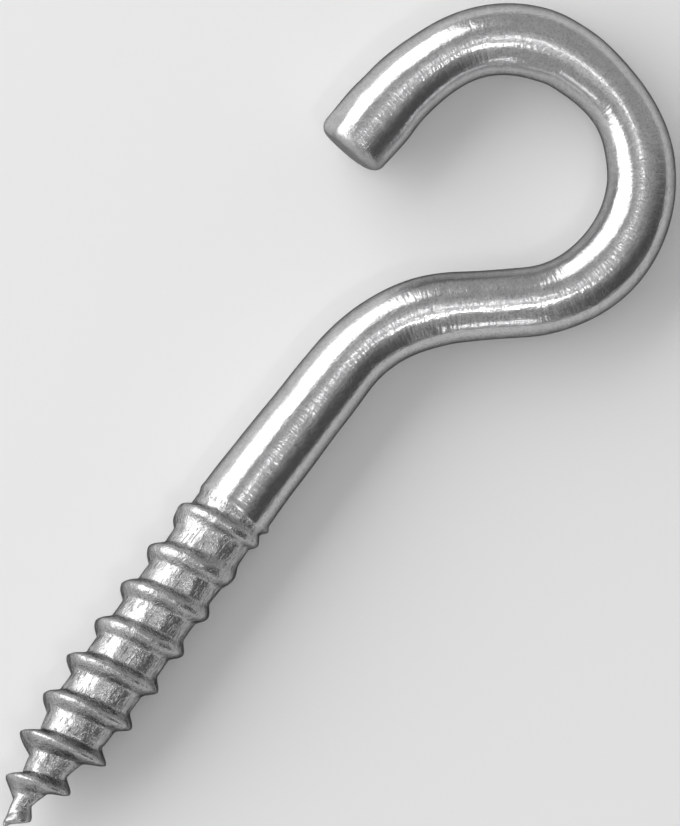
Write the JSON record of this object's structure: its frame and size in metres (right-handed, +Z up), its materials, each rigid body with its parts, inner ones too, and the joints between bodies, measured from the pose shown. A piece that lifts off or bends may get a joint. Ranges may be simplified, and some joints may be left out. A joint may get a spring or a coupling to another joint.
{
  "type": "screw hook",
  "caption": "Round wire hook with a right-hand wood thread and gimlet point in line with a nearly closed loop.",
  "frame": {"origin": "on the thread's axis, where the thread ends and the plain shank begins: the wall's face once the hook is driven home", "axes": "+X along the thread's axis towards the hook, +Y towards the side that the free end is on, +Z up; the hook lies flat in XY, as it would on a table"},
  "size_m": [0.0884, 0.031, 0.0082],
  "materials": {
    "zinc_plated_steel": "bright zinc plate over drawn wire, worn at the bends and the thread"
  },
  "bodies": {
    "root": {"screw_hook": "zinc_plated_steel"}
  },
  "joints": []
}
